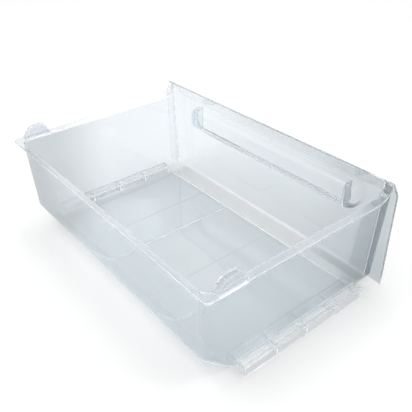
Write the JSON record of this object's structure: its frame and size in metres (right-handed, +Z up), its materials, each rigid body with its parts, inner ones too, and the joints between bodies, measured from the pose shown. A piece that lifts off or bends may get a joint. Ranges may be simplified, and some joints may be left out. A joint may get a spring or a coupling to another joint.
{
  "type": "freezer drawer",
  "caption": "Clear moulded freezer drawer: open tub with a sloped rear foot, rolled rim, taller front panel with a recessed grip, side runners and stop humps.",
  "frame": {"origin": "on the floor's underside, below the middle of the overall box", "axes": "+Z up, +Y towards the back of the drawer, so the grip and front panel are at -Y, +X to the right of someone who faces the front"},
  "size_m": [0.466, 0.302, 0.163],
  "materials": {
    "clear_plastic": "clear polished polystyrene, faintly blue-grey, with bright moulded edges"
  },
  "bodies": {
    "root": {"drawer_moulding": "clear_plastic"}
  },
  "joints": []
}
